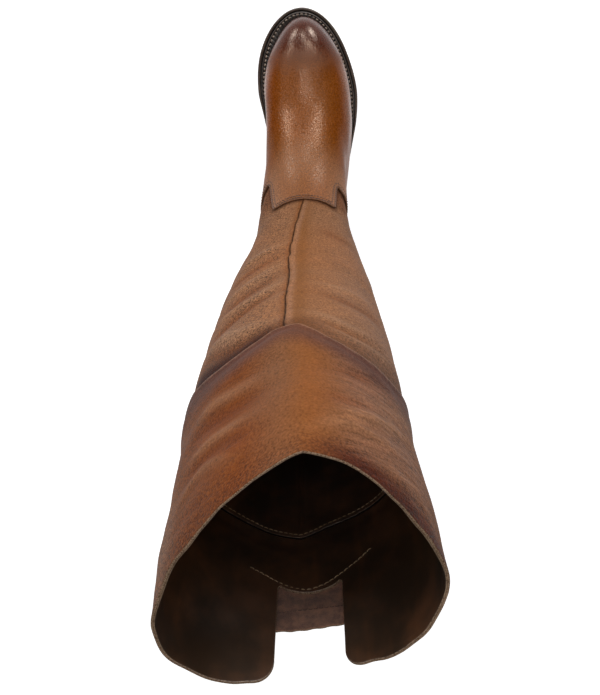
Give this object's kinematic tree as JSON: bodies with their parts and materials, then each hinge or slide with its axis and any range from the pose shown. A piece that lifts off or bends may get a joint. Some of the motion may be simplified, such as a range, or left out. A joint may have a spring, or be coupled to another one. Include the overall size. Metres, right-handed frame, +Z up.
{
  "type": "over-the-knee boot",
  "caption": "Tall leather riding-style boot for a right foot: welted round-toe foot, full shaft, folded-edge knee panel with a notched back, low stacked heel.",
  "frame": {"origin": "centre of the heel's flat bottom, on the floor that the boot stands on", "axes": "+X towards the toe, +Y towards the inner (medial) side of the right foot, +Z up the leg"},
  "size_m": [0.2903, 0.1453, 0.5231],
  "materials": {
    "vamp_leather": "smooth burnished cognac leather, semi-gloss, darker at the toe",
    "shaft_leather": "soft pebbled cognac leather, satin",
    "knee_leather": "soft pebbled cognac leather, burnished along its edges, satin",
    "tab_leather": "leather, its rough flesh side turned to the leg",
    "sole_leather": "near-black brown stained sole leather, waxed edge",
    "insole_leather": "dark brown lining leather, matt",
    "stacked_leather": "dark stacked leather, waxed",
    "heel_rubber": "black rubber, matt"
  },
  "bodies": {
    "root": {"upper": "vamp_leather", "shaft": "shaft_leather", "knee_panel": "knee_leather", "back_tab": "tab_leather", "welt": "sole_leather", "outsole": "sole_leather", "insole": "insole_leather", "heel_lift_1": "stacked_leather", "heel_lift_2": "stacked_leather", "heel_lift_3": "stacked_leather", "heel_top_piece": "heel_rubber"}
  },
  "joints": []
}
